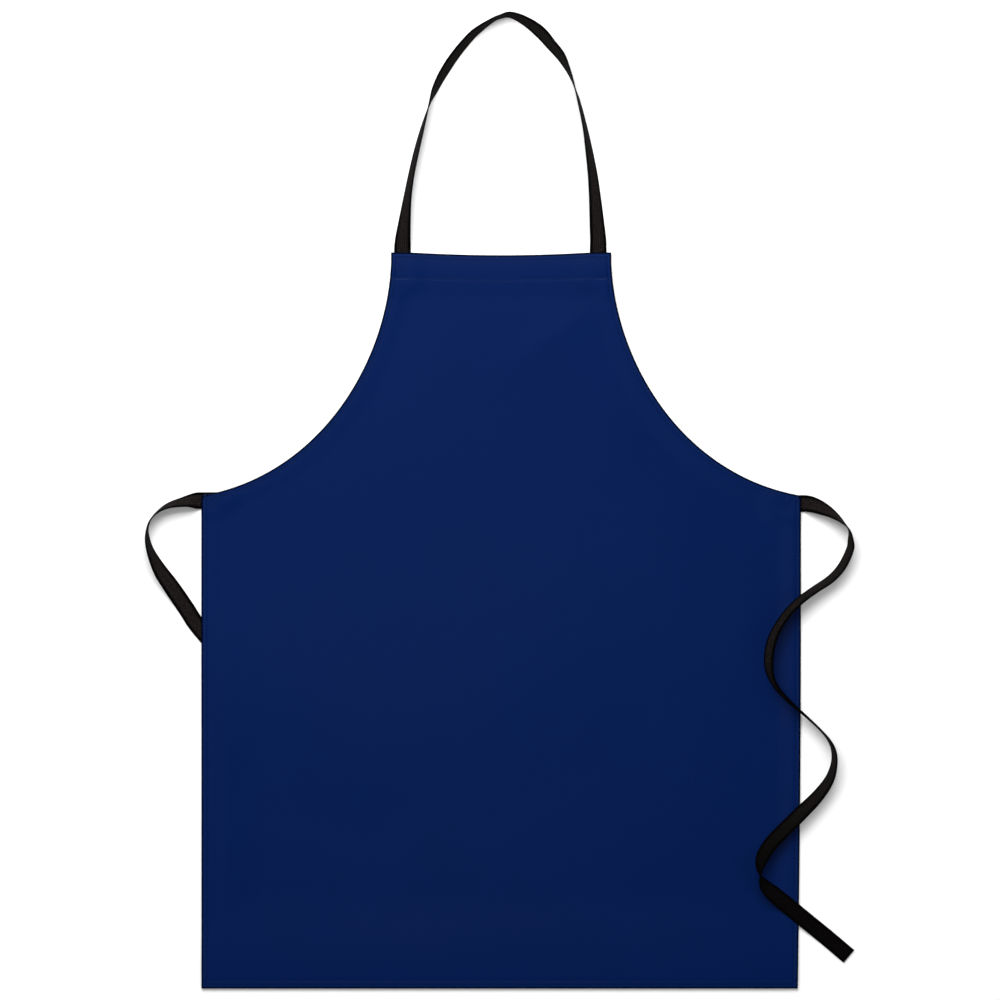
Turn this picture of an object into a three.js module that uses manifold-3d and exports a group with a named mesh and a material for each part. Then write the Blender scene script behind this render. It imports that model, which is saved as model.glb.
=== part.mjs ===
// Bib apron of coated sheet with a neck strap and two waist ties, laid flat on its back.
//
// Frame: millimetres, +Z up, +Y towards the bib, +X to the viewer's right when looking at the
// front. The origin is the middle of the panel's outline, on the surface that it lies on.
// The panel is one sheet whose edges are turned to the back and sewn. The straps are flat
// webbing, sewn flat to the back of the hems. Where a strap curves it stands on its edge.
import * as THREE from 'three';
import Module from 'manifold-3d';
import { mergeVertices } from 'three/addons/utils/BufferGeometryUtils.js';

const wasm = await Module();
wasm.setup();

// ---------------------------------------------------------------- driving dimensions
const LENGTH = 749;             // bib top to bottom edge
const SKIRT_WIDTH = 610;
const SKIRT_LENGTH = 501.5;     // bottom edge to the side corners
const BIB_WIDTH = 224;
const BIB_STRAIGHT = 10;        // straight stretch of the bib's sides below its top edge
const ARMHOLE_TOP_HANDLE = [4, -100];       // the armhole's Bezier handles, from its two ends
const ARMHOLE_SIDE_HANDLE = [-122, 21.5];
const ARMHOLE_STEPS = 22;

const SHEET = 1.2;              // thickness of the coated sheet
const BIB_HEM = 28;             // depth of the hem turned down behind the bib's top edge
const EDGE_HEM = 6.5;           // narrow hem along the sides and armholes
const BOTTOM_HEM = 10;          // bottom hem, turned twice
const GAP = 0.3;                // clearance kept between separate pieces

const WEB_WIDTH = 17;
const WEB_THICKNESS = 1.3;
const WEB_STEP = 5;             // length of one segment of webbing
const NECK_END = 25;            // length of the neck strap sewn behind the bib hem
const TIE_END = 18;             // length of a tie sewn behind the side edge
const BEND_CLEARANCE = 1;       // from a tie's bend axis to the webbing on each side of it

const THREAD = 0.6;             // side of a seam's thread on the front
const THREAD_LEG = 0.5;         // side of the thread where it passes through the layers
const NEEDLE_HOLE = 1.1;
const SEAM_PITCH = 60;          // distance between the threads that pass through a hem seam
const BIB_SEAM_INSET = 26;      // bib seam below the top edge
const EDGE_SEAM_INSET = 4.5;
const BOTTOM_SEAM_INSET = 8;
const BOX_STITCH = 12;          // side of the square sewn through a strap's end

// ---------------------------------------------------------------- places worked out from them
const TOP = LENGTH / 2;
const BOTTOM = -LENGTH / 2;
const CORNER = BOTTOM + SKIRT_LENGTH;
const SIDE = SKIRT_WIDTH / 2;
const BIB_SIDE = BIB_WIDTH / 2;

const HEM_LOW = WEB_THICKNESS + GAP;        // underside of the single hems, above the webbing
const BOTTOM_HEM_LOW = HEM_LOW - SHEET;
const SHEET_LOW = HEM_LOW + SHEET;
const SHEET_HIGH = SHEET_LOW + SHEET;
const THREAD_LOW = SHEET_HIGH + GAP;
const OVER_PANEL = THREAD_LOW + THREAD + GAP;   // webbing that lies over the panel's front and seams

// Routes of the webbing's centreline: x, y, height of its lower face or edge, and twist in degrees.
// At 0 the webbing lies flat, front face up; at 90 or -90 it stands on its edge.
const NECK_ROUTE = [
  [-100.5, TOP + GAP, 0, 0], [-100.5, 379, 0, -4], [-100, 388, 0, -20], [-98.5, 403, 0, -40],
  [-95.5, 428, 0, -60], [-91.5, 452, 0, -68], [-86, 477, 0, -71], [-79.8, 501, 0, -77],
  [-72.6, 526, 0, -91], [-68, 538, 0, -106], [-62.3, 550, 0, -113], [-55.3, 562, 0, -117],
  [-46.8, 574.5, 0, -116], [-37.2, 586.5, 0, -114], [-26.5, 597.7, 0, -110],
  [-10, 609.4, 0, -98], [-1, 613.6, 0, -96], [9.5, 615.5, 0, -103], [24.5, 609.2, 0, -116],
  [39.5, 598.3, 0, -129], [50.5, 585.8, 0, -124], [60.4, 574, 0, -118], [67, 562, 0, -104],
  [72.1, 550, 0, -93], [75.9, 538, 0, -86], [79.4, 526, 0, -80], [85.2, 501, 0, -74],
  [89.4, 477, 0, -64], [93.1, 452, 0, -54], [95.5, 428, 0, -43], [97.4, 403.5, 0, -28],
  [98.6, 388, 0, -14], [98.7, 379, 0, -4], [98.7, TOP + GAP, 0, 0],
];
const TIE_RIGHT_ROOT = [
  [SIDE + GAP, 119, 0, 0], [310, 119, 0, -3], [317, 117.7, 0, -20], [326, 114.2, 0, -36],
  [335, 109.5, 0, -55], [343, 103.8, 0, -71], [350, 97, 0, -84], [354, 91, 0, -90],
];
const TIE_RIGHT_RUN = [
  [354, 91, 0, -90], [355, 82, 0, -103], [354.5, 72.5, 0, -111], [346.5, 55.5, 0, -114],
  [335, 42.5, 1, -114], [317.6, 30.8, OVER_PANEL, -113], [303.5, 20.5, OVER_PANEL, -114],
  [291, 8, OVER_PANEL, -115], [280.5, -7.5, OVER_PANEL, -116], [274.5, -21.5, OVER_PANEL, -120],
  [272, -35, OVER_PANEL, -120], [272, -48.5, OVER_PANEL, -115],
  [275.5, -60.5, OVER_PANEL, -106], [282.5, -71.5, OVER_PANEL, -102], [293, -82.5, OVER_PANEL, -99],
  [309.3, -97, OVER_PANEL, -95], [323.8, -110.5, 1.5, -93], [333.8, -122.5, 0, -96],
  [338.2, -134, 0, -102], [338, -147, 0, -107], [333.2, -162, 0.5, -118],
  [321.5, -178.5, OVER_PANEL, -131], [304, -196, OVER_PANEL, -142], [287, -213, OVER_PANEL, -145],
  [273, -228, OVER_PANEL, -144], [264.5, -242.5, OVER_PANEL, -132], [262.5, -256, OVER_PANEL, -96],
  [267.5, -268.5, OVER_PANEL, -48], [279.5, -280, OVER_PANEL, -18], [294.5, -292.5, OVER_PANEL, 0],
  [310.5, -305.7, OVER_PANEL, 0], [332, -323.3, 2, 0], [353.9, -341.8, 0, 0],
];
const TIE_LEFT_ROOT = [
  [-SIDE - GAP, 122, 0, 0], [-309, 122, 0, 6], [-316, 121.8, 0, 38], [-325, 120.3, 0, 57],
  [-338, 117, 0, 71], [-348, 111.3, 0, 81], [-356, 103, 0, 87], [-359.5, 93, 0, 90],
];
const TIE_LEFT_RUN = [
  [-359.5, 93, 0, 90], [-359.2, 82, 0, 101], [-356.7, 72, 0, 110], [-352, 61, 0, 125],
  [-345.5, 49, 0, 144], [-337.3, 37, 0, 160], [-329.2, 25, 0, 173], [-320.4, 12, 0, 180],
  [-305.2, -10, 0, 180], [-264, -54, 0, 180], [-213.5, -86.5, 0, 180], [-157, -105, 0, 180],
  [-97, -109, 0, 180], [-38.5, -97.5, 0, 180], [15.5, -71.5, 0, 180], [63, -30.5, 0, 180],
];

// ---------------------------------------------------------------- materials
const NAVY = new THREE.MeshStandardMaterial({ color: 0x0a2154, roughness: 0.5, metalness: 0 });
const WEBBING = new THREE.MeshStandardMaterial({ color: 0x1b1616, roughness: 0.85, metalness: 0 });
const NAVY_THREAD = new THREE.MeshStandardMaterial({ color: 0x152a5c, roughness: 0.7, metalness: 0 });

// ---------------------------------------------------------------- solids and booleans
function toSolid(geometry) {
  const bare = geometry.clone();
  bare.deleteAttribute('normal');
  bare.deleteAttribute('uv');
  const merged = mergeVertices(bare, 1e-4);
  return new wasm.Manifold(new wasm.Mesh({
    numProp: 3,
    vertProperties: new Float32Array(merged.attributes.position.array),
    triVerts: new Uint32Array(merged.index.array),
  }));
}

function toGeometry(solid) {
  const mesh = solid.getMesh();
  const geometry = new THREE.BufferGeometry();
  geometry.setAttribute('position', new THREE.BufferAttribute(mesh.vertProperties, 3));
  geometry.setIndex(new THREE.BufferAttribute(mesh.triVerts, 1));
  return geometry;
}

function joined(solids) {
  return solids.reduce((whole, solid) => whole.add(solid));
}

function plate(shape, low, high) {
  const geometry = new THREE.ExtrudeGeometry(shape, { depth: high - low, bevelEnabled: false });
  return toSolid(geometry.translate(0, 0, low));
}

function block(left, right, near, far, low, high) {
  const geometry = new THREE.BoxGeometry(right - left, far - near, high - low);
  return toSolid(geometry.translate((left + right) / 2, (near + far) / 2, (low + high) / 2));
}

// ---------------------------------------------------------------- the panel
// The right armhole from the side corner up to the bib, moved inwards by inset.
function armhole(inset) {
  const side = new THREE.Vector2(SIDE, CORNER);
  const top = new THREE.Vector2(BIB_SIDE, TOP - BIB_STRAIGHT);
  const curve = new THREE.CubicBezierCurve(
    side,
    side.clone().add(new THREE.Vector2(...ARMHOLE_SIDE_HANDLE)),
    top.clone().add(new THREE.Vector2(...ARMHOLE_TOP_HANDLE)),
    top,
  );
  const points = [];
  for (let step = 0; step <= ARMHOLE_STEPS; step++) {
    const t = step / ARMHOLE_STEPS;
    const tangent = curve.getTangent(t);
    const inward = new THREE.Vector2(-tangent.y, tangent.x);
    points.push(curve.getPoint(t).addScaledVector(inward, inset));
  }
  return points;
}

function panelOutline(inset) {
  const right = [...armhole(inset), new THREE.Vector2(BIB_SIDE - inset, TOP)];
  const left = right.map((point) => new THREE.Vector2(-point.x, point.y)).reverse();
  const base = [new THREE.Vector2(-SIDE, BOTTOM), new THREE.Vector2(SIDE, BOTTOM)];
  return new THREE.Shape([...base, ...right, ...left]);
}

// The turned edge: everything between the outline and the hems' inner edges.
function turnedEdge() {
  const inside = block(-SIDE + EDGE_HEM, SIDE - EDGE_HEM, BOTTOM + BOTTOM_HEM, TOP - BIB_HEM, 0, SHEET_HIGH);
  const unhemmed = plate(panelOutline(EDGE_HEM), 0, SHEET_HIGH).intersect(inside);
  return plate(panelOutline(0), HEM_LOW, SHEET_LOW).subtract(unhemmed);
}

function panel(holes) {
  const front = plate(panelOutline(0), SHEET_LOW, SHEET_HIGH);
  const secondTurn = block(-SIDE, SIDE, BOTTOM, BOTTOM + BOTTOM_HEM, BOTTOM_HEM_LOW, HEM_LOW);
  return joined([front, turnedEdge(), secondTurn]).subtract(holes);
}

// ---------------------------------------------------------------- seams
// Points about SEAM_PITCH apart along a line of points, both ends included.
function stitchPoints(line) {
  const path = new THREE.CurvePath();
  for (let i = 1; i < line.length; i++) {
    path.add(new THREE.LineCurve(line[i - 1], line[i]));
  }
  return path.getSpacedPoints(Math.round(path.getLength() / SEAM_PITCH));
}

// One straight stretch of thread lying on the panel's front.
function threadBar(start, end) {
  const run = end.clone().sub(start);
  const bar = new THREE.BoxGeometry(run.length() + THREAD, THREAD, THREAD);
  bar.rotateZ(run.angle());
  const middle = start.clone().add(end).multiplyScalar(0.5);
  return toSolid(bar.translate(middle.x, middle.y, THREAD_LOW + THREAD / 2));
}

function needlePins(points, width, low, high) {
  const half = width / 2;
  return joined(points.map(({ x, y }) => block(x - half, x + half, y - half, y + half, low, high)));
}

// A seam's thread: the bars between the points of its line, and legs down through the layers.
function hemSeam(name, line) {
  const bars = [];
  for (let i = 1; i < line.length; i++) {
    bars.push(threadBar(line[i - 1], line[i]));
  }
  return seam(name, joined(bars), stitchPoints(line), HEM_LOW + GAP);
}

function seam(name, top, points, depth) {
  const legs = needlePins(points, THREAD_LEG, depth, THREAD_LOW + THREAD / 2);
  const holes = needlePins(points, NEEDLE_HOLE, -1, THREAD_LOW);
  return { name, thread: top.add(legs), holes };
}

// A square of thread sewn through a hem and the strap's end behind it.
function boxStitch(name, x, y) {
  const square = (half) => [[-1, -1], [1, -1], [1, 1], [-1, 1]].map(
    ([i, j]) => new THREE.Vector2(x + i * half, y + j * half),
  );
  const middle = BOX_STITCH / 2;
  const ring = new THREE.Shape(square(middle + THREAD / 2));
  ring.holes.push(new THREE.Path(square(middle - THREAD / 2)));
  return seam(name, plate(ring, THREAD_LOW, THREAD_LOW + THREAD), square(middle), GAP);
}

function mirrored(line) {
  return line.map((point) => new THREE.Vector2(-point.x, point.y));
}

function makeSeams() {
  const bibSeamY = TOP - BIB_SEAM_INSET;
  const bibEnd = BIB_SIDE - 1;
  const sideX = SIDE - EDGE_SEAM_INSET;
  const bottomY = BOTTOM + BOTTOM_SEAM_INSET;
  const belowTie = TIE_RIGHT_ROOT[0][1] - WEB_WIDTH / 2 - 2;
  const besideTie = SIDE - TIE_END - 2;
  const armholeLine = armhole(EDGE_SEAM_INSET).filter(({ x, y }) => x < besideTie && y < bibSeamY - 2);
  const sideLine = [new THREE.Vector2(sideX, bottomY + 2), new THREE.Vector2(sideX, belowTie)];
  return [
    hemSeam('bib_hem_thread', [new THREE.Vector2(-bibEnd, bibSeamY), new THREE.Vector2(bibEnd, bibSeamY)]),
    hemSeam('bottom_hem_thread', [new THREE.Vector2(-sideX, bottomY), new THREE.Vector2(sideX, bottomY)]),
    hemSeam('right_armhole_thread', armholeLine),
    hemSeam('left_armhole_thread', mirrored(armholeLine)),
    hemSeam('right_side_thread', sideLine),
    hemSeam('left_side_thread', mirrored(sideLine)),
    boxStitch('neck_left_box_stitch', NECK_ROUTE[0][0], TOP - NECK_END / 2),
    boxStitch('neck_right_box_stitch', NECK_ROUTE.at(-1)[0], TOP - NECK_END / 2),
    boxStitch('tie_left_box_stitch', -SIDE + TIE_END / 2, TIE_LEFT_ROOT[0][1]),
    boxStitch('tie_right_box_stitch', SIDE - TIE_END / 2, TIE_RIGHT_ROOT[0][1]),
  ];
}

// ---------------------------------------------------------------- webbing
// The webbing along a route, as a box whose cross-sections follow the curve and its twist.
function webbing(route, trimStart = 0, trimEnd = 0) {
  const line = new THREE.CatmullRomCurve3(route.map(([x, y]) => new THREE.Vector3(x, y, 0)), false, 'catmullrom');
  const turn = new THREE.CatmullRomCurve3(route.map(([, , low, twist]) => new THREE.Vector3(low, twist, 0)), false, 'catmullrom');
  const length = line.getLength();
  const segments = Math.max(4, Math.round(length / WEB_STEP));
  const geometry = new THREE.BoxGeometry(1, WEB_WIDTH, WEB_THICKNESS, segments, 1, 1);
  const position = geometry.attributes.position;
  const point = new THREE.Vector3();
  for (let i = 0; i < position.count; i++) {
    point.fromBufferAttribute(position, i);
    const share = THREE.MathUtils.lerp(trimStart / length, 1 - trimEnd / length, point.x + 0.5);
    const t = line.getUtoTmapping(share);
    const centre = line.getPoint(t);
    const heading = line.getTangent(t);
    const side = new THREE.Vector3(-heading.y, heading.x, 0);
    const { x: low, y: twist } = turn.getPoint(t);
    const angle = THREE.MathUtils.degToRad(twist);
    const across = side.clone().multiplyScalar(Math.cos(angle));
    across.z = Math.sin(angle);
    const facing = side.clone().multiplyScalar(-Math.sin(angle));
    facing.z = Math.cos(angle);
    centre.z = low + (WEB_WIDTH / 2) * Math.abs(across.z) + (WEB_THICKNESS / 2) * Math.abs(facing.z);
    centre.addScaledVector(across, point.y).addScaledVector(facing, point.z);
    position.setXYZ(i, centre.x, centre.y, Math.max(centre.z, 0));
  }
  return geometry;
}

function neckEnd(x, holes) {
  const half = WEB_WIDTH / 2;
  return block(x - half, x + half, TOP - NECK_END, TOP, 0, WEB_THICKNESS).subtract(holes);
}

function tieEnd(inner, outer, y, holes) {
  const half = WEB_WIDTH / 2;
  return block(inner, outer, y - half, y + half, 0, WEB_THICKNESS).subtract(holes);
}

// ---------------------------------------------------------------- the assembly
const apron = new THREE.Group();
apron.name = 'welding_apron';

function add(name, geometry, material) {
  const mesh = new THREE.Mesh(geometry, material);
  mesh.name = name;
  apron.add(mesh);
}

const seams = makeSeams();
const needleHoles = joined(seams.map(({ holes }) => holes));

add('apron_panel', toGeometry(panel(needleHoles)), NAVY);
add('neck_end_left', toGeometry(neckEnd(NECK_ROUTE[0][0], needleHoles)), WEBBING);
add('neck_end_right', toGeometry(neckEnd(NECK_ROUTE.at(-1)[0], needleHoles)), WEBBING);
add('tie_end_left', toGeometry(tieEnd(-SIDE, -SIDE + TIE_END, TIE_LEFT_ROOT[0][1], needleHoles)), WEBBING);
add('tie_end_right', toGeometry(tieEnd(SIDE - TIE_END, SIDE, TIE_RIGHT_ROOT[0][1], needleHoles)), WEBBING);
add('neck_loop', webbing(NECK_ROUTE), WEBBING);
add('tie_left_root', webbing(TIE_LEFT_ROOT, 0, BEND_CLEARANCE), WEBBING);
add('tie_left_run', webbing(TIE_LEFT_RUN, BEND_CLEARANCE), WEBBING);
add('tie_right_root', webbing(TIE_RIGHT_ROOT, 0, BEND_CLEARANCE), WEBBING);
add('tie_right_run', webbing(TIE_RIGHT_RUN, BEND_CLEARANCE), WEBBING);
for (const { name, thread } of seams) {
  add(name, toGeometry(thread), NAVY_THREAD);
}

export default apron;
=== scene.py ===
"""A bib apron of coated leather with a webbing neck strap and waist ties, laid flat, seen from above.

The panel is one closed sheet whose edges are turned to the back. Each strap is a ribbon that follows
its route, flat or standing on its edge. Every stitch is a piece of thread. All sizes are in metres.
"""

import math

import bpy
import numpy as np
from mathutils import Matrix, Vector, noise
from mathutils.geometry import delaunay_2d_cdt


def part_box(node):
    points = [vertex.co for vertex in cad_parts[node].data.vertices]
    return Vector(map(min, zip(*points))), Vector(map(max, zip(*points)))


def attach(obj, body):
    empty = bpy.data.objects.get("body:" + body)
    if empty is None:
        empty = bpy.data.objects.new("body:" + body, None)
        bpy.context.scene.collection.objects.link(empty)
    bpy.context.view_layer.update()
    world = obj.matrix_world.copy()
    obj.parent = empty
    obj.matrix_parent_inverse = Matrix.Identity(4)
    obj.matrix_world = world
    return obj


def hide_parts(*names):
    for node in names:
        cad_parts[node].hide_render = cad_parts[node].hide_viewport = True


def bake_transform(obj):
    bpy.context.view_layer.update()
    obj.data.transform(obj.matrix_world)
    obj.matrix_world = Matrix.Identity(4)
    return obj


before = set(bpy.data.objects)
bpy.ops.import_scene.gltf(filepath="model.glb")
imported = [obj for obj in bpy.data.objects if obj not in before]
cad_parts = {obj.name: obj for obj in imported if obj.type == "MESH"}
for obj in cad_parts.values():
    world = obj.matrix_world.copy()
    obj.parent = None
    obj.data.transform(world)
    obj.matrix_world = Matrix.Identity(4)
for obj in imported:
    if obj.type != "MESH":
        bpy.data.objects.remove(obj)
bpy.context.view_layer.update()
MM = 0.001

# ---------------------------------------------------------------- sizes taken from the frame
PANEL_LOW, PANEL_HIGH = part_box("apron_panel")
SIDE = PANEL_HIGH.x
TOP = PANEL_HIGH.y
BOTTOM = PANEL_LOW.y

# ---------------------------------------------------------------- driving dimensions
CORNER = BOTTOM + 0.5015           # height of the side corners
BIB_SIDE = 0.112
BIB_STRAIGHT = 0.010
ARMHOLE_TOP_HANDLE = (0.004, -0.100)
ARMHOLE_SIDE_HANDLE = (-0.122, 0.0215)

SHEET = 1.2 * MM
BIB_HEM = 28 * MM
EDGE_HEM = 6.5 * MM
BOTTOM_HEM = 10 * MM
BIB_SEAM_INSET = 26 * MM
EDGE_SEAM_INSET = 4.5 * MM
BOTTOM_SEAM_INSET = 8 * MM
BOX_STITCH = 12 * MM

WEB_WIDTH = 17 * MM
WEB_THICKNESS = 1.3 * MM
RIBS = 8
RIB_HEIGHT = 0.07 * MM
NECK_END = 25 * MM
TIE_END = 18 * MM
TIE_RIGHT_Y = 0.119
TIE_LEFT_Y = 0.122
NECK_LEFT_X = -0.1005
NECK_RIGHT_X = 0.0987

STITCH_PITCH = 3.4 * MM
STITCH_LENGTH = 2.8 * MM
THREAD_RADIUS = 0.32 * MM
FRONT_ARCH = 0.3 * MM              # a stitch rises this much out of the front
BACK_ARCH = -0.24 * MM             # and this much out of the back
BACK_TACK = 9 * MM                 # the bib seam is sewn back over itself at both ends

LIFT = 0.45 * MM                   # the hems lie this far off the floor, on their stitches
BUMP = 1.3 * MM                    # the sheet rises this much more over webbing beneath it
HEM_EASE = 18 * MM                 # the face slopes down from a hem over this width
BOTTOM_EASE = 90 * MM              # and from the thicker bottom hem over this width
END_EASE = 20 * MM                 # and from a strap's sewn end over this width
DRAPE = 110 * MM                   # how far the sheet bridges beside the tie beneath it
WAVE = 1.3 * MM                    # slow undulation of the sheet
SETTLE = 70 * MM                   # which dies out towards the hems over this width
DIMPLE = 0.15 * MM                 # a seam pulls the face in this deep
DIMPLE_WIDTH = 1.3 * MM
TACKED_DIMPLE = 1.4                # and this much deeper again where it is sewn twice
CREST_INSET = 3.0 * MM             # the hem's rounded crest, painted paler as a highlight
CREST_WIDTH = 0.6 * MM
GROOVE_WIDTH = 0.7 * MM            # the edge seam's groove, painted a little darker as shade
GROOVE_SHADE = 0.35
SHADED_EDGE_INSETS = (1.3 * MM, 2.2 * MM)   # the painted shade along the folded rim fades out between these insets
FOLD = 0.8 * MM                    # height of the soft fold pulled from the bib's right corner
FOLD_WIDTH = 17 * MM
FOLD_START = np.array((0.106, 0.322))
FOLD_RUN = np.array((-0.140, -0.090))
PILLOW = 0.5 * MM                  # the bib's hem swells between its fold and its seam
TOP_SAG = 2.8 * MM                 # the bib's top edge dips between the neck strap's ends
SAG_HALF_WIDTH = 95 * MM
SAG_DEPTH = 75 * MM                # how far below the top edge the dip is felt
SIDE_DRAW = 3.2 * MM               # the right side draws in towards the bottom hem
DRAW_START = 107 * MM              # from this far below the side corner
CONTACT = 0.15 * MM                # between webbing and the floor
WEB_REST = 0.4 * MM                # between webbing and the panel
SEWN_HEIGHT = 0.4 * MM             # the underside of a sewn end
SEWN_EASE = (20 * MM, 34 * MM)     # a strap leaves that height between these lengths
CUT_SWELL = 0.22                   # a cut end thickens by this share over its last stretch
CUT_SWELL_LENGTH = 2.5 * MM
SHADED_TAIL = (300 * MM, 120 * MM)  # a tie's webbing is painted darker, as shade, between these distances from its cut end
# how much of the webbing's paler colour the painted shade takes away at the cut end
TAIL_SHADE_SHARE = 0.85

KEY_POWER = 83
FILL_POWER = 32
SHEEN_POWER = 13
WORLD_STRENGTH = 0.3

# Centrelines of the webbing: x, y and twist in degrees. At 0 the webbing lies flat, front face up,
# and at 90 or -90 it stands on its edge.
NECK_ROUTE = [
    (-0.1005, 0.3748, 0), (-0.1005, 0.379, -4), (-0.1, 0.388, -20), (-0.0985, 0.403, -40),
    (-0.0955, 0.428, -60), (-0.0915, 0.452, -68), (-0.086, 0.477, -71), (-0.0798, 0.501, -77),
    (-0.0726, 0.526, -91), (-0.068, 0.538, -106), (-0.0623, 0.55, -113), (-0.0553, 0.562, -117),
    (-0.0468, 0.5745, -116), (-0.0372, 0.5865, -114), (-0.0265, 0.5977, -110), (-0.01, 0.6094, -98),
    (-0.001, 0.6136, -96), (0.0095, 0.6155, -103), (0.0245, 0.6092, -116), (0.0395, 0.5983, -129),
    (0.0505, 0.5858, -124), (0.0604, 0.574, -118), (0.067, 0.562, -104), (0.0721, 0.55, -93),
    (0.0759, 0.538, -86), (0.0794, 0.526, -80), (0.0852, 0.501, -74), (0.0894, 0.477, -64),
    (0.0931, 0.452, -54), (0.0955, 0.428, -43), (0.0974, 0.4035, -28), (0.0986, 0.388, -14),
    (0.0987, 0.379, -4), (0.0987, 0.3748, 0),
]
TIE_RIGHT_ROUTE = [
    (0.3053, 0.119, 0), (0.31, 0.119, -3), (0.317, 0.1177, -20), (0.326, 0.1142, -36),
    (0.335, 0.1095, -55), (0.343, 0.1038, -71), (0.35, 0.097, -84), (0.354, 0.091, -90),
    (0.355, 0.082, -103), (0.3545, 0.0725, -111), (0.3465, 0.0555, -114), (0.335, 0.0425, -114),
    (0.3176, 0.0308, -113), (0.3035, 0.0205, -114), (0.291, 0.008, -115), (0.2805, -0.0075, -116),
    (0.2745, -0.0215, -120), (0.272, -0.035, -120), (0.272, -0.0485, -115), (0.2755, -0.0605, -106),
    (0.2825, -0.0715, -102), (0.293, -0.0825, -99), (0.3093, -0.097, -95), (0.3238, -0.1105, -93),
    (0.3338, -0.1225, -96), (0.3382, -0.134, -102), (0.338, -0.147, -107), (0.3332, -0.162, -118),
    (0.3215, -0.1785, -131), (0.304, -0.196, -142), (0.287, -0.213, -145), (0.273, -0.228, -144),
    (0.2645, -0.2425, -132), (0.2625, -0.256, -96), (0.2675, -0.2685, -48), (0.2795, -0.28, -18),
    (0.2945, -0.2925, 0), (0.3105, -0.3057, 0), (0.332, -0.3233, 0), (0.3539, -0.3418, 0),
]
TIE_LEFT_ROUTE = [
    (-0.3053, 0.122, 0), (-0.309, 0.122, 6), (-0.316, 0.1218, 38), (-0.325, 0.1203, 57),
    (-0.338, 0.117, 71), (-0.348, 0.1113, 81), (-0.356, 0.103, 87), (-0.3595, 0.093, 90),
    (-0.3592, 0.082, 101), (-0.3567, 0.072, 110), (-0.352, 0.061, 125), (-0.3455, 0.049, 144),
    (-0.3373, 0.037, 160), (-0.3292, 0.025, 173), (-0.3204, 0.012, 180), (-0.3052, -0.01, 180),
    (-0.264, -0.054, 180), (-0.2135, -0.0865, 180), (-0.157, -0.105, 180), (-0.097, -0.109, 180),
    (-0.0385, -0.0975, 180), (0.0155, -0.0715, 180), (0.063, -0.0305, 180),
]


# ---------------------------------------------------------------- camera
def add_camera():
    """Straight above the apron, looking down a long lens, +Y up in the picture."""
    distance, view_width, sensor = 4.0, 1.018, 0.036
    data = bpy.data.cameras.new("camera")
    data.sensor_width = sensor * 1000
    data.lens = sensor * 1000 * distance / view_width
    data.clip_end = 60
    camera = bpy.data.objects.new("camera", data)
    camera.location = (-0.0012, 0.1226, distance)
    bpy.context.scene.collection.objects.link(camera)
    bpy.context.scene.camera = camera


# ---------------------------------------------------------------- small helpers
def smooth(low, high, value):
    """0 below low, 1 above high, and a smooth step between."""
    t = np.clip((value - low) / (high - low), 0, 1)
    return t * t * (3 - 2 * t)


def link_mesh(name, points, faces, material_indices=None, sharp=math.radians(45)):
    mesh = bpy.data.meshes.new(name)
    mesh.from_pydata([tuple(p) for p in points], [], [tuple(f) for f in faces])
    if material_indices is not None:
        mesh.polygons.foreach_set("material_index", material_indices)
    mesh.polygons.foreach_set("use_smooth", [True] * len(mesh.polygons))
    mesh.set_sharp_from_angle(angle=sharp)
    mesh.update()
    piece = bpy.data.objects.new(name, mesh)
    bpy.context.scene.collection.objects.link(piece)
    return piece


def finish_piece(piece, slot, *materials):
    for material in materials:
        piece.data.materials.append(material)
    return piece


def add_attribute(piece, name, values):
    """A value for each point, which the materials read."""
    attribute = piece.data.attributes.new(name, "FLOAT", "POINT")
    attribute.data.foreach_set("value", values)


def resampled(line, spacing):
    """Points of a polyline at an even spacing, as an array."""
    line = np.asarray(line, float)
    along = np.concatenate([[0], np.cumsum(np.linalg.norm(np.diff(line[:, :2], axis=0), axis=1))])
    at = np.linspace(0, along[-1], max(2, round(along[-1] / spacing) + 1))
    return np.stack([np.interp(at, along, line[:, k]) for k in range(line.shape[1])], axis=1)


# ---------------------------------------------------------------- the cut of the panel
def armhole():
    """The right armhole from the side corner up to the bib."""
    side = np.array((SIDE, CORNER))
    top = np.array((BIB_SIDE, TOP - BIB_STRAIGHT))
    t = np.linspace(0, 1, 121)[:, None]
    return (
        (1 - t) ** 3 * side
        + 3 * (1 - t) ** 2 * t * (side + ARMHOLE_SIDE_HANDLE)
        + 3 * (1 - t) * t**2 * (top + ARMHOLE_TOP_HANDLE)
        + t**3 * top
    )


def outline(spacing):
    """The panel's outline, counterclockwise from the bottom left corner, with its corners kept."""
    curve = armhole()
    bib_corner = np.array((BIB_SIDE, TOP))
    mirror = np.array((-1, 1))
    stretches = [
        [(-SIDE, BOTTOM), (SIDE, BOTTOM)],
        [(SIDE, BOTTOM), (SIDE, CORNER)],
        curve,
        [curve[-1], bib_corner],
        [bib_corner, bib_corner * mirror],
        [bib_corner * mirror, curve[-1] * mirror],
        curve[::-1] * mirror,
        [(-SIDE, CORNER), (-SIDE, BOTTOM)],
    ]
    return np.concatenate([resampled(stretch, spacing)[:-1] for stretch in stretches])


def inset(loop, distance):
    """A closed counterclockwise loop moved inwards, with mitred corners."""
    before, after = np.roll(loop, 1, axis=0), np.roll(loop, -1, axis=0)
    a = (loop - before) / np.linalg.norm(loop - before, axis=1, keepdims=True)
    b = (after - loop) / np.linalg.norm(after - loop, axis=1, keepdims=True)
    normal_a = np.stack([-a[:, 1], a[:, 0]], axis=1)
    normal_b = np.stack([-b[:, 1], b[:, 0]], axis=1)
    mitre = (normal_a + normal_b) / (1 + (normal_a * normal_b).sum(1, keepdims=True))
    return loop + mitre * distance


def bib_half_width(y):
    """Half the panel's width at a height."""
    curve = armhole()
    return np.interp(y, curve[:, 1], curve[:, 0], left=SIDE, right=BIB_SIDE)


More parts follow.
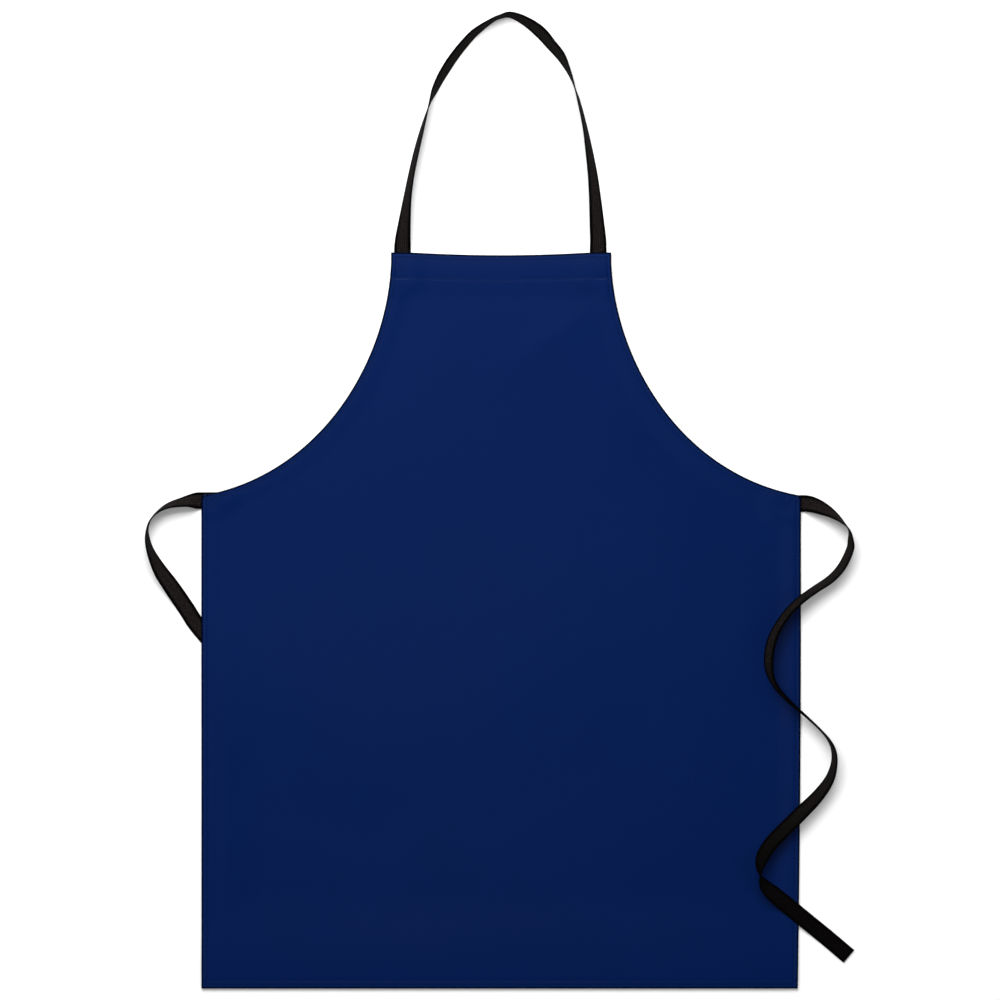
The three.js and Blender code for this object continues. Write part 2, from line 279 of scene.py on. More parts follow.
def distance_to(points, line):
    """How far each point is from a polyline."""
    nearest = np.full(len(points), np.inf)
    for start, end in zip(line[:-1], line[1:]):
        run = end - start
        share = np.clip(((points - start) @ run) / (run @ run), 0, 1)
        nearest = np.minimum(nearest, np.linalg.norm(points - start - share[:, None] * run, axis=1))
    return nearest


# ---------------------------------------------------------------- the routes of the webbing
def catmull_rom(route, steps=14):
    """A uniform Catmull-Rom curve through the route, as a dense array of its points."""
    knots = np.asarray(route, float)
    knots = np.concatenate([[2 * knots[0] - knots[1]], knots, [2 * knots[-1] - knots[-2]]])
    t = np.linspace(0, 1, steps, endpoint=False)[:, None]
    spans = [
        0.5 * (2 * b + (c - a) * t + (2 * a - 5 * b + 4 * c - d) * t**2 + (3 * b - a - 3 * c + d) * t**3)
        for a, b, c, d in zip(knots[:-3], knots[1:-2], knots[2:-1], knots[3:])
    ]
    return np.concatenate([*spans, knots[-2:-1]])


def strap_line(route, sewn_start, sewn_end=None):
    """The whole strap, with the ends that are sewn behind the hems, at an even spacing."""
    line = [np.array([(*sewn_start, 0.0)]), catmull_rom(route)]
    if sewn_end:
        line.append(np.array([(*sewn_end, 0.0)]))
    return resampled(np.concatenate(line), 2.5 * MM)


NECK_LINE = strap_line(NECK_ROUTE, (NECK_LEFT_X, TOP - NECK_END), (NECK_RIGHT_X, TOP - NECK_END))
RIGHT_LINE = strap_line(TIE_RIGHT_ROUTE, (SIDE - TIE_END, TIE_RIGHT_Y))
LEFT_LINE = strap_line(TIE_LEFT_ROUTE, (-SIDE + TIE_END, TIE_LEFT_Y))

SEWN_ENDS = [
    np.array([(NECK_LEFT_X, TOP - NECK_END), (NECK_LEFT_X, TOP)]),
    np.array([(NECK_RIGHT_X, TOP - NECK_END), (NECK_RIGHT_X, TOP)]),
    np.array([(SIDE - TIE_END, TIE_RIGHT_Y), (SIDE, TIE_RIGHT_Y)]),
    np.array([(-SIDE + TIE_END, TIE_LEFT_Y), (-SIDE, TIE_LEFT_Y)]),
]
HIDDEN_TIE = np.array(TIE_LEFT_ROUTE)[12:, :2]


# ---------------------------------------------------------------- heights of the panel
def edge_line():
    """The side and armhole on the right, from the bottom edge up to the bib's top."""
    return resampled(np.concatenate([[(SIDE, BOTTOM)], armhole(), [(BIB_SIDE, TOP)]]), 6 * MM)


def edge_distance(points):
    folded = np.stack([np.abs(points[:, 0]), points[:, 1]], axis=1)
    return distance_to(folded, edge_line())


def border_distance(points):
    return np.minimum(edge_distance(points), np.minimum(TOP - points[:, 1], points[:, 1] - BOTTOM))


def waves(points):
    """A slow, seeded undulation between 0 and 1."""
    return np.array([
        0.5 + 0.5 * noise.noise(Vector((x * 5.2 + 3.1, y * 3.9 - 1.7, 0.4)))
        + 0.18 * noise.noise(Vector((x * 14.0, y * 11.0 + 6.0, 2.2)))
        for x, y in points
    ])


def fold(points):
    """A soft ridge from the bib's right corner, fading out down to the left."""
    offset = points - FOLD_START
    share = (offset @ FOLD_RUN) / (FOLD_RUN @ FOLD_RUN)
    beside = (offset[:, 0] * FOLD_RUN[1] - offset[:, 1] * FOLD_RUN[0]) / np.linalg.norm(FOLD_RUN)
    fade = smooth(-0.12, 0.12, share) * (1 - smooth(0.35, 1.0, share))
    return FOLD * fade * np.exp(-((beside / FOLD_WIDTH) ** 2))


def lift(points):
    """How far the lowest layer is off the floor."""
    over_webbing = 1 - smooth(0.5 * WEB_WIDTH, 0.5 * WEB_WIDTH + DRAPE, distance_to(points, HIDDEN_TIE))
    for end in SEWN_ENDS:
        beside = distance_to(points, end)
        near_end = 1 - smooth(0.5 * WEB_WIDTH, 0.5 * WEB_WIDTH + END_EASE, beside)
        over_webbing = np.maximum(over_webbing, near_end)
    settled = smooth(0, SETTLE, border_distance(points))
    return LIFT + WAVE * settled * np.clip(waves(points), 0, 1.2) + fold(points) + BUMP * over_webbing


def layer_heights(points):
    """Height of the front and of the back of the panel, before its edge is rounded."""
    edge = edge_distance(points)
    below_top, above_bottom = TOP - points[:, 1], points[:, 1] - BOTTOM
    at_edge = 1 - smooth(EDGE_HEM, EDGE_HEM + HEM_EASE, edge)
    at_top = 1 - smooth(BIB_HEM, BIB_HEM + HEM_EASE, below_top)
    at_bottom = 2 - 2 * smooth(BOTTOM_HEM, BOTTOM_HEM + BOTTOM_EASE, above_bottom)
    eased = (at_edge**6 + at_top**6 + at_bottom**6) ** (1 / 6)
    turned = (edge < EDGE_HEM + 0.1 * MM) | (below_top < BIB_HEM + 0.1 * MM)
    layers = np.where(above_bottom < BOTTOM_HEM + 0.1 * MM, 2, turned.astype(float))
    face_low = lift(points) + SHEET * np.maximum(eased, layers)
    swell = PILLOW * np.sin(np.pi * np.clip(below_top / BIB_SEAM_INSET, 0, 1))
    return face_low + SHEET + swell - dimples(points, edge), face_low - SHEET * layers


def dimples(points, edge):
    """How deep the seams pull the face in."""
    from_bib_seam = np.abs(TOP - BIB_SEAM_INSET - points[:, 1])
    from_bottom_seam = np.abs(BOTTOM + BOTTOM_SEAM_INSET - points[:, 1])
    nearest = np.minimum.reduce([from_bib_seam, from_bottom_seam, np.abs(edge - EDGE_SEAM_INSET)])
    tacked = smooth(BIB_SIDE - 20 * MM, BIB_SIDE - 12 * MM, np.abs(points[:, 0]))
    depth = DIMPLE * (1 + TACKED_DIMPLE * tacked * (from_bib_seam < 4 * MM))
    return depth * np.exp(-((nearest / DIMPLE_WIDTH) ** 2))


def panel_heights(points):
    """Height of the front and of the back, with the folded edge rounded."""
    front, back = layer_heights(points)
    outer = border_distance(points)
    middle, half = (front + back) / 2, (front - back) / 2
    share = np.clip(outer / half, 0, 1)
    rise = half * np.sqrt(1 - (1 - share) ** 2)
    return middle + rise, middle - rise


def drawn_in(points):
    """The cut's outline as it lies: the bib's top dips and the right side draws in."""
    x, y = points[:, 0], points[:, 1]
    dip = TOP_SAG * np.clip(1 - (x / SAG_HALF_WIDTH) ** 2, 0, 1) ** 1.2 * smooth(TOP - SAG_DEPTH, TOP, y)
    down = np.clip((CORNER - DRAW_START - y) / (CORNER - DRAW_START - BOTTOM), 0, 1)
    draw = SIDE_DRAW * smooth(0.12, SIDE, x) * down**2
    return np.stack([x - draw, y - dip], axis=1)


# ---------------------------------------------------------------- the panel
# Insets of the mesh's rings from the cut edge, in millimetres, closest at the edge and the seam.
RINGS = [0, 0.12, 0.4, 0.8, 1.2, 1.8, 2.6, 3.4, 4.1, 4.5, 4.9, 5.6, 6.5, 6.9, 8.0, 10.0, 13.0]
RIM_SPACING = 3 * MM
GRID_SPACING = 5 * MM
GRID_CLEARANCE = 15 * MM           # the grid keeps this far inside the rings


def grid_points():
    """A staggered grid of points inside the rings."""
    rows = np.arange(BOTTOM, TOP, GRID_SPACING * 0.866)
    columns = np.arange(-SIDE, SIDE, GRID_SPACING)
    grid = np.array([(x + (row % 2) * GRID_SPACING / 2, y) for row, y in enumerate(rows) for x in columns])
    return grid[inside_cut(grid) & (border_distance(grid) > GRID_CLEARANCE)]


def kept_heights():
    """The heights of the straight lines across the panel: both seams, and where both hems end."""
    bib_seam, bottom_seam = TOP - BIB_SEAM_INSET, BOTTOM + BOTTOM_SEAM_INSET
    return [
        *(bib_seam + d * MM for d in (-0.8, 0, 0.8)),
        TOP - BIB_HEM,
        TOP - BIB_HEM - 0.4 * MM,
        *(bottom_seam + d * MM for d in (-0.8, 0, 0.8)),
        BOTTOM + BOTTOM_HEM,
        BOTTOM + BOTTOM_HEM + 0.4 * MM,
    ]


def panel_points():
    """The points of the cut and the lines that its triangles must keep to."""
    loop = outline(RIM_SPACING)
    edges = []
    for ring in range(len(RINGS)):
        first = ring * len(loop)
        edges += [(first + i, first + (i + 1) % len(loop)) for i in range(len(loop))]
    points = [*(inset(loop, ring * MM) for ring in RINGS), grid_points()]
    count = sum(map(len, points))
    for y in kept_heights():
        half = bib_half_width(y) - 1.5 * MM
        row = resampled([(-half, y), (half, y)], RIM_SPACING)
        points.append(row)
        edges += [(count + i, count + i + 1) for i in range(len(row) - 1)]
        count += len(row)
    return np.concatenate(points), edges, len(loop)


def inside_cut(points):
    return np.abs(points[:, 0]) < bib_half_width(points[:, 1])


def mark_edges(panel, flat, below):
    """Marks the hem's crest for a painted highlight, and the panel's rim and the edge seam's groove for
    painted shade, for the leather material.
    """
    outer = border_distance(flat)
    # painted highlight: a pale band along the hem's rounded crest
    crest_highlight = np.exp(-(((outer - CREST_INSET) / CREST_WIDTH) ** 2))
    groove = np.exp(-(((outer - EDGE_SEAM_INSET) / GROOVE_WIDTH) ** 2))
    # painted shade: dark along the folded rim and, weaker, in the edge seam's groove
    painted_edge_shade = np.maximum(1 - smooth(*SHADED_EDGE_INSETS, outer), GROOVE_SHADE * groove)
    add_attribute(panel, "crest_highlight", np.concatenate([crest_highlight, crest_highlight[below]]))
    add_attribute(panel, "painted_edge_shade", np.concatenate([painted_edge_shade, painted_edge_shade[below]]))


def make_panel(front_material, back_material):
    """The whole sheet, closed: its front and its back meet at the rim."""
    points, edges, rim_count = panel_points()
    verts, _, faces, origins, _, _ = delaunay_2d_cdt([Vector(p) for p in points], edges, [], 1, 1e-7)
    flat = np.array([tuple(v) for v in verts])
    on_rim = np.array([any(o < rim_count for o in origin) for origin in origins])
    front, back = panel_heights(flat)
    placed = drawn_in(flat)
    top = np.column_stack([placed, np.where(on_rim, (front + back) / 2, front)])
    below = np.flatnonzero(~on_rim)
    index_below = np.arange(len(flat))
    index_below[below] = len(flat) + np.arange(len(below))
    bottom = np.column_stack([placed[below], back[below]])
    back_faces = [[index_below[i] for i in reversed(face)] for face in faces]
    panel = link_mesh(
        "panel",
        np.concatenate([top, bottom]),
        list(faces) + back_faces,
        material_indices=[0] * len(faces) + [1] * len(back_faces),
        sharp=math.radians(60),
    )
    mark_edges(panel, flat, below)
    finish_piece(panel, "coated_leather", front_material, back_material)
    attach(panel, "apron")
    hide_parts("apron_panel")
    return panel


# ---------------------------------------------------------------- webbing


def strap_section():
    """The webbing's cross-section, (across, out), counterclockwise, with ribs and round selvedges."""
    half, radius = WEB_WIDTH / 2, WEB_THICKNESS / 2
    across = np.linspace(half - radius, -half + radius, RIBS * 5 + 1)
    out = radius - RIB_HEIGHT * (0.5 + 0.5 * np.cos(2 * np.pi * RIBS * across / WEB_WIDTH))
    upper = np.stack([across, out], axis=1)
    turn = np.radians(np.linspace(90, 270, 7)[1:-1])
    left = np.stack([-half + radius + radius * np.cos(turn), radius * np.sin(turn)], axis=1)
    return np.concatenate([upper, left, -upper, -left])


def resting_height(line, across):
    """What the webbing's lower edge lies on, along its length."""
    highest = np.zeros(len(line))
    for share in (-0.5, -0.25, 0, 0.25, 0.5):
        foot = line[:, :2] + share * WEB_WIDTH * across
        front, _ = panel_heights(foot)
        over = inside_cut(foot) & (foot[:, 1] > BOTTOM) & (foot[:, 1] < TOP)
        highest = np.maximum(highest, np.where(over, front + WEB_REST, 0))
    reach, spread = 3, 4
    padded = np.pad(highest, reach, mode="edge")
    widest = np.max([padded[i:i + len(line)] for i in range(2 * reach + 1)], axis=0)
    weights = np.exp(-((np.arange(-3 * spread, 3 * spread + 1) / spread) ** 2) / 2)
    return np.convolve(np.pad(widest, 3 * spread, mode="edge"), weights / weights.sum(), mode="valid")


def strap_directions(line, along):
    """Unit vectors across the webbing and out of its front face, along its length."""
    heading = np.gradient(line[:, :2], along, axis=0)
    heading /= np.linalg.norm(heading, axis=1, keepdims=True)
    side = np.stack([-heading[:, 1], heading[:, 0]], axis=1)
    twist = np.radians(line[:, 2])[:, None]
    across = np.hstack([side * np.cos(twist), np.sin(twist)])
    facing = np.hstack([-side * np.sin(twist), np.cos(twist)])
    return across, facing


def strap_centre(line, along, across, facing, over_panel, cut_end):
    """The webbing's middle line, resting on what is beneath it, and low where it is sewn."""
    low = resting_height(line, across[:, :2]) if over_panel else np.zeros(len(line))
    low = np.maximum(low, CONTACT)
    from_sewn_end = along if cut_end else np.minimum(along, along[-1] - along)
    sewn = 1 - smooth(*SEWN_EASE, from_sewn_end)
    low = low * (1 - sewn) + sewn * SEWN_HEIGHT
    rise = WEB_WIDTH / 2 * np.abs(across[:, 2]) + WEB_THICKNESS / 2 * np.abs(facing[:, 2])
    return np.column_stack([line[:, :2], low + rise])


def webbing_mesh(name, rings, section, along):
    """A closed mesh through the rings, with the weave's coordinates in millimetres."""
    count, size = len(along), len(section)
    faces, uvs = [], []
    for ring in range(count - 1):
        near, far = ring * size, (ring + 1) * size
        for i in range(size):
            j = (i + 1) % size
            faces.append((near + i, far + i, far + j, near + j))
            corners = (i, ring), (i, ring + 1), (j, ring + 1), (j, ring)
            uvs += [(section[k, 0], along[r]) for k, r in corners]
    faces.append(tuple(range(size)))
    faces.append(tuple((count - 1) * size + i for i in reversed(range(size))))
    uvs += [(section[i, 0], along[0]) for i in range(size)]
    uvs += [(section[i, 0], along[-1]) for i in reversed(range(size))]
    strap = link_mesh(name, rings.reshape(-1, 3), faces)
    layer = strap.data.uv_layers.new(name="weave")
    layer.data.foreach_set("uv", np.array(uvs).ravel() * 1000)
    return strap


def make_strap(name, line, over_panel, cut_end, material):
    """One strap, as a ribbon whose section follows the line and its twist."""
    steps = np.linalg.norm(np.diff(line[:, :2], axis=0), axis=1)
    along = np.concatenate([[0], np.cumsum(steps)])
    across, facing = strap_directions(line, along)
    centre = strap_centre(line, along, across, facing, over_panel, cut_end)
    section = strap_section()
    swell, tail_shade = np.ones(len(line)), np.zeros(len(line))
    if cut_end:
        swell = 1 + CUT_SWELL * smooth(along[-1] - CUT_SWELL_LENGTH, along[-1], along)
        # painted shade: each tie's webbing darkens over the stretch before its cut end
        tail_shade = smooth(along[-1] - SHADED_TAIL[0], along[-1] - SHADED_TAIL[1], along)
    rings = (
        centre[:, None]
        + across[:, None] * section[None, :, :1]
        + facing[:, None] * section[None, :, 1:] * swell[:, None, None]
    )
    strap = webbing_mesh(name, rings, section, along)
    add_attribute(strap, "unshaded_share", np.repeat(1 - TAIL_SHADE_SHARE * tail_shade, len(section)))
    finish_piece(strap, "webbing", material)
    return strap, centre, along[-1]


# ---------------------------------------------------------------- stitches
def stitch(middle, direction, length, z, arch):
    """One stitch: a piece of thread that rises out of the sheet and goes back in."""
    share = np.linspace(-0.5, 0.5, 7)
    line = np.column_stack([
        middle[0] + direction[0] * share * length,
        middle[1] + direction[1] * share * length,
        z + arch * (1 - (2 * np.abs(share)) ** 4) - 0.55 * arch,
    ])
    around = np.radians(np.arange(0, 360, 60))
    side = np.array((-direction[1], direction[0], 0))
    up = np.array((0, 0, 1))
    width = THREAD_RADIUS * np.sqrt(np.clip(1 - (2 * share) ** 8, 0.2, 1))
    spokes = np.cos(around)[:, None] * side + np.sin(around)[:, None] * up
    return (line[:, None] + spokes[None] * width[:, None, None]).reshape(-1, 3)


def stitch_row(line, front=True, pitch=STITCH_PITCH):
    """The stitches along a polyline, on the panel's front or on its back."""
    points = resampled(line, pitch)
    middles, runs = (points[1:] + points[:-1]) / 2, points[1:] - points[:-1]
    directions = runs / np.linalg.norm(runs, axis=1, keepdims=True)
    heights = panel_heights(middles)[0 if front else 1]
    arch = FRONT_ARCH if front else BACK_ARCH
    spots = drawn_in(middles)
    length = STITCH_LENGTH * pitch / STITCH_PITCH
    return [stitch(m, d, length, z, arch) for m, d, z in zip(spots, directions, heights)]


def make_thread(name, stitches, node, material):
    ring, rings = 6, 7
    faces = [
        (r * ring + i, r * ring + (i + 1) % ring, (r + 1) * ring + (i + 1) % ring, (r + 1) * ring + i)
        for r in range(rings - 1) for i in range(ring)
    ]
    faces += [tuple(reversed(range(ring))), tuple((rings - 1) * ring + i for i in range(ring))]
    size = ring * rings
    every_face = [tuple(k * size + i for i in face) for k in range(len(stitches)) for face in faces]
    thread = link_mesh(name, np.concatenate(stitches), every_face, sharp=math.radians(70))
    finish_piece(thread, "thread", material)
    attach(thread, "apron")
    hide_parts(node)
    return thread


def mirrored(line):
    return np.asarray(line) * (-1, 1)


def box_rows(x, y):
    """A square of stitches with its diagonals."""
    h = BOX_STITCH / 2
    a, b, c, d = (x - h, y - h), (x + h, y - h), (x + h, y + h), (x - h, y + h)
    return [np.array(pair) for pair in ((a, b), (b, c), (c, d), (d, a), (a, c), (b, d))]


def seam_rows():
    """The lines of stitches that each thread makes, by the thread's CAD node."""
    bib_y, bottom_y = TOP - BIB_SEAM_INSET, BOTTOM + BOTTOM_SEAM_INSET
    bib_x, side_x = BIB_SIDE - 1.6 * MM, SIDE - EDGE_SEAM_INSET
    loop = inset(outline(RIM_SPACING), EDGE_SEAM_INSET)
    right = loop[(loop[:, 0] > 0) & (loop[:, 1] > CORNER - 6 * MM) & (loop[:, 1] < bib_y - 2 * MM)]
    right = right[right[:, 0] < side_x + 0.1 * MM]
    side = np.array([(side_x, bottom_y + 2 * MM), (side_x, CORNER - 7 * MM)])
    tack_y = bib_y + 0.7 * MM
    back_tack = [np.array([(sign * bib_x, tack_y), (sign * (bib_x - BACK_TACK), tack_y)]) for sign in (-1, 1)]
    return {
        "bib_hem_thread": [np.array([(-bib_x, bib_y), (bib_x, bib_y)]), *back_tack],
        "bottom_hem_thread": [np.array([(-side_x, bottom_y), (side_x, bottom_y)])],
        "right_armhole_thread": [right],
        "left_armhole_thread": [mirrored(right)],
        "right_side_thread": [side],
        "left_side_thread": [mirrored(side)],
    }


def box_stitches():
    """The boxes of stitches that hold the straps' ends, by their CAD nodes."""
    return {
        "neck_left_box_stitch": box_rows(NECK_LEFT_X, TOP - NECK_END / 2),
        "neck_right_box_stitch": box_rows(NECK_RIGHT_X, TOP - NECK_END / 2),
        "tie_left_box_stitch": box_rows(-SIDE + TIE_END / 2, TIE_LEFT_Y),
        "tie_right_box_stitch": box_rows(SIDE - TIE_END / 2, TIE_RIGHT_Y),
    }


def make_stitches(material):
    """Every thread: the seams show on both sides of the panel, the boxes on its front."""
    for node, lines in seam_rows().items():
        stitches = [one for front in (True, False) for line in lines for one in stitch_row(line, front)]
        make_thread(node.removesuffix("_thread") + "_stitches", stitches, node, material)
    for node, lines in box_stitches().items():
        stitches = [one for line in lines for one in stitch_row(line, pitch=BOX_STITCH / 4)]
        make_thread(node.removesuffix("_stitch") + "_stitches", stitches, node, material)


# ---------------------------------------------------------------- materials
def new_material(name, roughness, specular):
    material = bpy.data.materials.new(name)
    material.use_nodes = True
    nodes, links = material.node_tree.nodes, material.node_tree.links
    shader = nodes["Principled BSDF"]
    shader.inputs["Roughness"].default_value = roughness
    shader.inputs["Specular IOR Level"].default_value = specular
    return material, nodes, links, shader


def add_node(nodes, kind, **values):
    node = nodes.new(kind)
    for key, value in values.items():
        if key in node.inputs:
            node.inputs[key].default_value = value
        else:
            setattr(node, key, value)
    return node


def object_point(nodes):
    return nodes.new("ShaderNodeTexCoord").outputs["Object"]


def ramp(nodes, links, factor, low, high, start=0.3, end=0.7):
    """A colour that goes from low to high as the factor goes from start to end."""
    node = nodes.new("ShaderNodeValToRGB")
    node.color_ramp.elements[0].position = start
    node.color_ramp.elements[1].position = end
    node.color_ramp.elements[0].color = (*low, 1)
    node.color_ramp.elements[1].color = (*high, 1)
    links.new(factor, node.inputs["Fac"])
    return node.outputs["Color"]


def mix(nodes, links, factor, first, second):
    node = nodes.new("ShaderNodeMix")
    node.data_type = "RGBA"
    links.new(factor, node.inputs["Factor"])
    links.new(first, node.inputs["A"])
    links.new(second, node.inputs["B"])
    return node.outputs["Result"]


def bump(nodes, links, height, distance, strength=1.0, below=None):
    node = nodes.new("ShaderNodeBump")
    node.inputs["Distance"].default_value = distance
    node.inputs["Strength"].default_value = strength
    links.new(height, node.inputs["Height"])
    if below is not None:
        links.new(below, node.inputs["Normal"])
    return node.outputs["Normal"]


def coated_leather():
    """Navy pigmented leather: fine pebbled grain, slow colour drift, a painted highlight on the hems' crests
    and painted shade on the rim and edge seams.
    """
    material, nodes, links, shader = new_material("coated_leather", 0.34, 0.026)
    point = object_point(nodes)
    drift = add_node(nodes, "ShaderNodeTexNoise", Scale=9.0, Detail=4.0, Roughness=0.6)
    speck = add_node(nodes, "ShaderNodeTexNoise", Scale=420.0, Detail=3.0, Roughness=0.7)
    pebble = add_node(nodes, "ShaderNodeTexVoronoi", Scale=950.0, feature="DISTANCE_TO_EDGE")
    for texture in (drift, speck, pebble):
        links.new(point, texture.inputs["Vector"])
    body = ramp(nodes, links, drift.outputs["Fac"], (0.0003, 0.0082, 0.0590), (0.0004, 0.0086, 0.0615))
    crest_highlight_colour = ramp(nodes, links, speck.outputs["Fac"], (0.0005, 0.0092, 0.0640), (0.0013, 0.0130, 0.0800))
    edge_shade_colour = ramp(nodes, links, speck.outputs["Fac"], (0.0002, 0.0012, 0.0060), (0.0003, 0.0022, 0.0110))
    # painted highlight: the hem's crest is mixed towards a paler blue
    crest_highlight = add_node(nodes, "ShaderNodeAttribute", attribute_name="crest_highlight")
    # painted shade: the rim and the edge seam's groove are mixed towards a near-black blue
    edge = add_node(nodes, "ShaderNodeAttribute", attribute_name="painted_edge_shade")
    highlighted = mix(nodes, links, crest_highlight.outputs["Fac"], body, crest_highlight_colour)
    links.new(mix(nodes, links, edge.outputs["Fac"], highlighted, edge_shade_colour), shader.inputs["Base Color"])
    # the specular level drops where the rim's shade is painted
    sheen = add_node(nodes, "ShaderNodeMapRange", **{"To Min": 0.026, "To Max": 0.005})
    links.new(edge.outputs["Fac"], sheen.inputs["Value"])
    links.new(sheen.outputs["Result"], shader.inputs["Specular IOR Level"])
    gloss = add_node(nodes, "ShaderNodeMapRange", **{"To Min": 0.31, "To Max": 0.38})
    links.new(drift.outputs["Fac"], gloss.inputs["Value"])
    links.new(gloss.outputs["Result"], shader.inputs["Roughness"])
    fine = bump(nodes, links, pebble.outputs["Distance"], 0.00012, 0.35)
    links.new(bump(nodes, links, speck.outputs["Fac"], 0.00008, 0.3, fine), shader.inputs["Normal"])
    return material


def leather_back():
    """The back of the sheet: a short dull nap."""
    material, nodes, links, shader = new_material("leather_back", 0.92, 0.1)
    point = object_point(nodes)
    nap = add_node(nodes, "ShaderNodeTexNoise", Scale=700.0, Detail=6.0, Roughness=0.8)
    cloud = add_node(nodes, "ShaderNodeTexNoise", Scale=16.0, Detail=4.0)
    for texture in (nap, cloud):
        links.new(point, texture.inputs["Vector"])
    dark = ramp(nodes, links, nap.outputs["Fac"], (0.010, 0.016, 0.040), (0.028, 0.036, 0.068))
    pale = ramp(nodes, links, nap.outputs["Fac"], (0.016, 0.022, 0.048), (0.038, 0.046, 0.080))
    links.new(mix(nodes, links, cloud.outputs["Fac"], dark, pale), shader.inputs["Base Color"])
    links.new(bump(nodes, links, nap.outputs["Fac"], 0.0003, 0.6), shader.inputs["Normal"])
    return material


def weave_textures(nodes, links):
    """The weave's waves and noises: picks across, yarns along, dusty patches and fuzz."""
    weave = nodes.new("ShaderNodeUVMap")
    weave.uv_map = "weave"
    picks = add_node(nodes, "ShaderNodeTexWave", Scale=0.34, Distortion=1.2, bands_direction="Y")
    picks.inputs["Detail Scale"].default_value = 2.0
    yarns = add_node(nodes, "ShaderNodeTexWave", Scale=0.1478, Distortion=0.3, bands_direction="X")
    mottle = add_node(nodes, "ShaderNodeTexNoise", Scale=0.42, Detail=2.0, Roughness=0.6)
    fuzz = add_node(nodes, "ShaderNodeTexNoise", Scale=1.3, Detail=3.0, Roughness=0.75)
    for texture in (picks, yarns, mottle, fuzz):
        links.new(weave.outputs["UV"], texture.inputs["Vector"])
    return weave, picks, yarns, mottle, fuzz


def selvedge_share(nodes, links, weave):
    """0 in the webbing's middle and 1 on its selvedges, from the distance across in millimetres."""
    split = nodes.new("ShaderNodeSeparateXYZ")
    links.new(weave.outputs["UV"], split.inputs["Vector"])
    from_middle = add_node(nodes, "ShaderNodeMath", operation="ABSOLUTE")
    links.new(split.outputs["X"], from_middle.inputs[0])
    selvedge = add_node(nodes, "ShaderNodeMapRange", **{"From Min": 4.9, "From Max": 5.9})
    links.new(from_middle.outputs[0], selvedge.inputs["Value"])
    return selvedge.outputs["Result"]


def black_webbing():
    """Black woven tape: dark selvedges, and a paler ribbed middle crossed by fine picks; each tie is painted
    darker, as shade, towards its cut end.
    """
    material, nodes, links, shader = new_material("black_webbing", 0.85, 0.02)
    weave, picks, yarns, mottle, fuzz = weave_textures(nodes, links)
    crossing = add_node(nodes, "ShaderNodeMath", operation="MULTIPLY")
    links.new(picks.outputs["Fac"], crossing.inputs[0])
    links.new(yarns.outputs["Fac"], crossing.inputs[1])
    woven = crossing.outputs[0]
    dark = ramp(nodes, links, woven, (0.0015, 0.0011, 0.0010), (0.0066, 0.0051, 0.0048), 0.1, 0.8)
    dusty = ramp(nodes, links, woven, (0.0068, 0.0053, 0.0049), (0.0210, 0.0170, 0.0162), 0.1, 0.8)
    patches = ramp(nodes, links, mottle.outputs["Fac"], (0, 0, 0), (1, 1, 1), 0.38, 0.64)
    middle = mix(nodes, links, patches, dark, dusty)
    flecks = ramp(nodes, links, fuzz.outputs["Fac"], (0, 0, 0), (0.7, 0.7, 0.7), 0.52, 0.66)
    pale = ramp(nodes, links, yarns.outputs["Fac"], (0.014, 0.0112, 0.0105), (0.048, 0.041, 0.039))
    speckled = mix(nodes, links, flecks, middle, pale)
    border = ramp(nodes, links, picks.outputs["Fac"], (0.0003, 0.0002, 0.0002), (0.0010, 0.0007, 0.0006))
    # painted shade: towards a tie's cut end the webbing is mixed towards the near-black border colour
    unshaded_share = add_node(nodes, "ShaderNodeAttribute", attribute_name="unshaded_share")
    tail_shaded = mix(nodes, links, unshaded_share.outputs["Fac"], border, speckled)
    edged = mix(nodes, links, selvedge_share(nodes, links, weave), tail_shaded, border)
    links.new(edged, shader.inputs["Base Color"])
    links.new(bump(nodes, links, woven, 0.00025, 0.7), shader.inputs["Normal"])
    return material


def navy_thread():
    """Bonded navy sewing thread with a little sheen and its ply showing."""
    material, nodes, links, shader = new_material("navy_thread", 0.6, 0.1)
    point = object_point(nodes)
    ply = add_node(nodes, "ShaderNodeTexWave", Scale=900.0, Distortion=2.0, bands_direction="DIAGONAL")
    tint = add_node(nodes, "ShaderNodeTexNoise", Scale=180.0, Detail=3.0)
    for texture in (ply, tint):
        links.new(point, texture.inputs["Vector"])
    colour = ramp(nodes, links, tint.outputs["Fac"], (0.0006, 0.0090, 0.0600), (0.0016, 0.0140, 0.0780))
    links.new(colour, shader.inputs["Base Color"])
    links.new(bump(nodes, links, ply.outputs["Fac"], 0.0001, 0.5), shader.inputs["Normal"])
    return material


def studio_paper(name, value):
    material, nodes, links, shader = new_material(name, 0.9, 0.1)
    shade = add_node(nodes, "ShaderNodeTexNoise", Scale=2.0, Detail=2.0)
    links.new(object_point(nodes), shade.inputs["Vector"])
    low, high = (value * 0.985,) * 3, (value,) * 3
    links.new(ramp(nodes, links, shade.outputs["Fac"], low, high), shader.inputs["Base Color"])
    return material


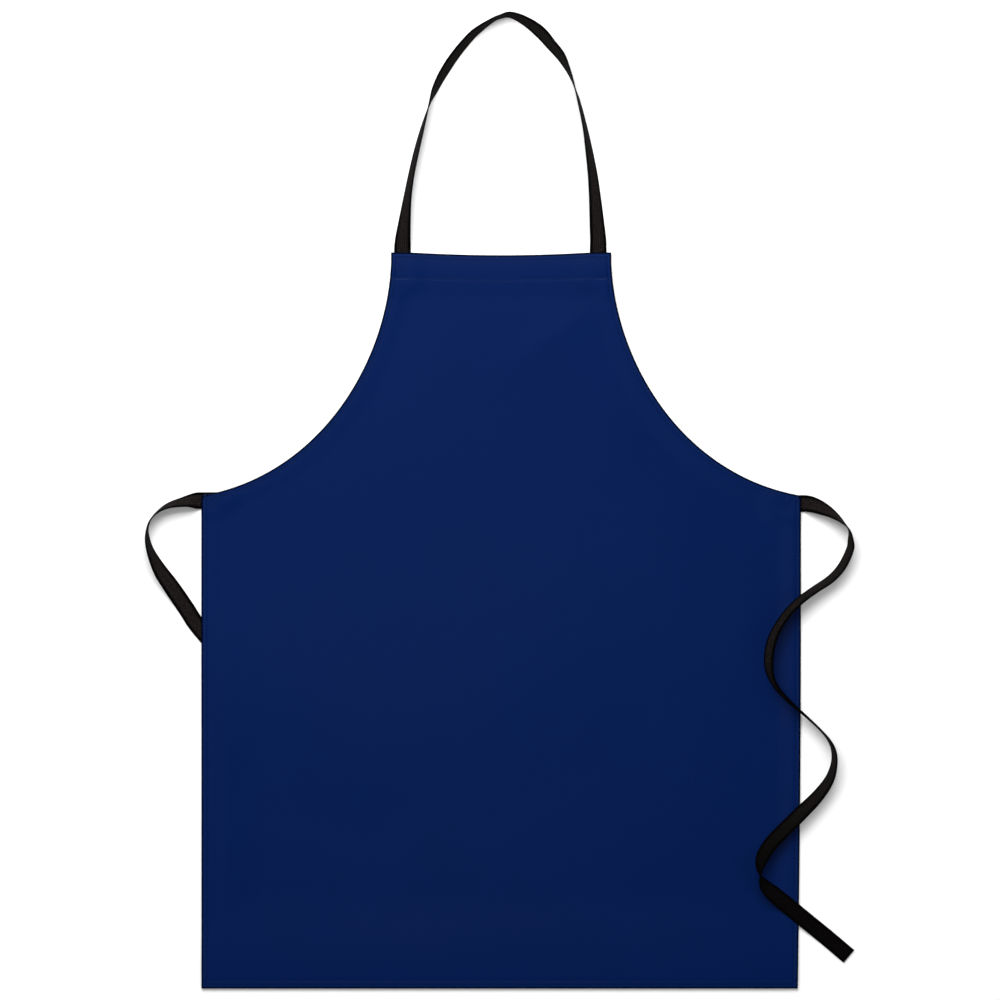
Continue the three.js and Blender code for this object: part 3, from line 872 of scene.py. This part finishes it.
# ---------------------------------------------------------------- stage and lights
def make_stage():
    radius, height, sides = 14.0, 8.0, 96
    paper = studio_paper("studio_paper", 0.93)
    ring = [(radius * math.cos(a), radius * math.sin(a)) for a in np.linspace(0, 2 * math.pi, sides, False)]
    floor_z = -0.2 * MM
    floor = link_mesh("studio_floor", [(x, y, floor_z) for x, y in ring], [tuple(range(sides))])
    wall_points = [(x, y, floor_z) for x, y in ring] + [(x, y, height) for x, y in ring]
    wall_faces = [(i, sides + i, sides + (i + 1) % sides, (i + 1) % sides) for i in range(sides)]
    wall = link_mesh("studio_wall", wall_points, wall_faces)
    for piece in (floor, wall):
        piece.data.materials.append(paper)


def add_area(name, location, target, size, power):
    data = bpy.data.lights.new(name, "AREA")
    data.shape = "RECTANGLE"
    data.size, data.size_y = size
    data.energy = power
    light = bpy.data.objects.new(name, data)
    light.visible_camera = False
    light.location = location
    light.rotation_euler = (Vector(target) - Vector(location)).to_track_quat("-Z", "Y").to_euler()
    bpy.context.scene.collection.objects.link(light)


def light_scene():
    add_area("key", (-0.4, 1.45, 1.75), (-0.2, 0.6, 0), (2.4, 1.6), KEY_POWER)
    add_area("fill", (3.0, -1.6, 1.7), (0, 0, 0), (2.6, 2.6), FILL_POWER)
    add_area("sheen", (-0.17, -0.19, 4.3), (0, 0, 0), (0.6, 0.6), SHEEN_POWER)
    world = bpy.data.worlds.new("studio")
    world.use_nodes = True
    world.node_tree.nodes["Background"].inputs["Color"].default_value = (1, 1, 1, 1)
    world.node_tree.nodes["Background"].inputs["Strength"].default_value = WORLD_STRENGTH
    bpy.context.scene.world = world
    bpy.context.scene.view_settings.view_transform = "Standard"


# ---------------------------------------------------------------- the assembly
add_camera()
webbing = black_webbing()
neck, neck_path, neck_length = make_strap("neck_strap", NECK_LINE, False, False, webbing)
right_tie, right_path, right_length = make_strap("tie_right", RIGHT_LINE, True, True, webbing)
left_tie, left_path, left_length = make_strap("tie_left", LEFT_LINE, False, True, webbing)
for strap, body, start, end in (
    (neck, "neck_strap", (0, TOP, 0), (0, TOP + 0.014, 0)),
    (right_tie, "right_tie", (0.354, 0.101, 0), (0.354, 0.081, 0)),
    (left_tie, "left_tie", (-0.3595, 0.103, 0), (-0.3595, 0.083, 0)),
):
    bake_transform(strap)
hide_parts("neck_end_left", "neck_loop", "neck_end_right")
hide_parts("tie_end_right", "tie_right_root", "tie_right_run")
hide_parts("tie_end_left", "tie_left_root", "tie_left_run")

panel = make_panel(coated_leather(), leather_back())
make_stitches(navy_thread())

make_stage()
light_scene()
